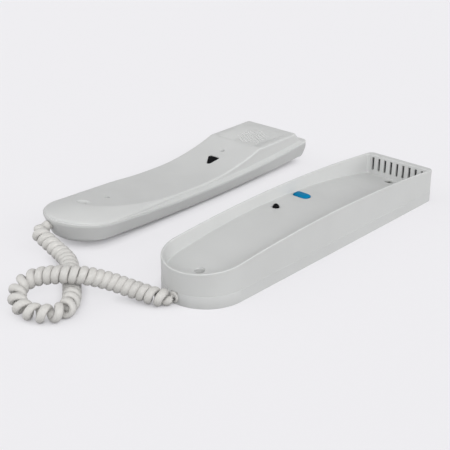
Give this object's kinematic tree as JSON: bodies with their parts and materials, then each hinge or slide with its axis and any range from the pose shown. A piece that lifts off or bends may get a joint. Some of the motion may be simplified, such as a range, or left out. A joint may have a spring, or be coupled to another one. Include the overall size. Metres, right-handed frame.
{
  "type": "audio intercom handset",
  "caption": "Wall intercom with an arched tray cradle, ringer slots, door button and hook plunger, and a banana-shaped handset lifted off beside it on a curly cord",
  "frame": {"origin": "centre of the flat back face of the cradle, which goes against the wall", "axes": "+X along the cradle from its round cord end to its squared ringer end, +Y towards the handset, +Z out of the wall"},
  "size_m": [0.2836, 0.1537, 0.0266],
  "materials": {
    "white_shell": "satin white moulded plastic",
    "white_back": "satin white moulded plastic",
    "cord_jacket": "warm light grey flexible jacket",
    "gland_white": "soft white rubber",
    "black_plastic": "black moulded plastic",
    "blue_button": "blue moulded plastic",
    "steel": "zinc plated steel",
    "board": "green lacquered board",
    "terminal_green": "green moulded plastic",
    "switch_black": "black moulded plastic",
    "ringer_case": "black moulded plastic",
    "cloth": "fine black cloth",
    "connector": "natural moulded plastic",
    "can": "drawn aluminium",
    "capsule": "drawn aluminium",
    "dark_rubber": "black rubber"
  },
  "bodies": {
    "base": {"cradle_housing": "white_shell", "back_plate": "white_back", "housing_screws": "steel", "circuit_board": "board", "board_screws": "steel", "terminal_block": "terminal_green", "terminal_screws": "steel", "hook_switch": "switch_black", "door_switch": "switch_black", "ringer": "ringer_case", "slot_cloth": "cloth", "cord_connector": "connector", "capacitors": "can", "cradle_gland": "gland_white", "curly_cord": "cord_jacket"},
    "handset": {"handset_back": "white_back", "handset_face": "white_shell", "face_screws": "steel", "receiver": "capsule", "receiver_ring": "dark_rubber", "microphone": "capsule", "microphone_boot": "dark_rubber", "face_insert": "black_plastic", "handset_gland": "gland_white"},
    "door_button": {"door_button": "blue_button"},
    "hook_plunger": {"hook_plunger": "black_plastic"}
  },
  "joints": [
    {"name": "handset_lift", "type": "slide", "parent": "base", "child": "handset", "axis": [0, 0, 1], "range_m": [0, 0.12], "deforming": ["curly_cord"]},
    {"name": "door_button_press", "type": "slide", "parent": "base", "child": "door_button", "axis": [0, 0, -1], "range_m": [0, 0.001], "stiffness_N_per_m": 500},
    {"name": "hook_plunger_press", "type": "slide", "parent": "base", "child": "hook_plunger", "axis": [0, 0, -1], "range_m": [0, 0.0018], "stiffness_N_per_m": 150}
  ]
}
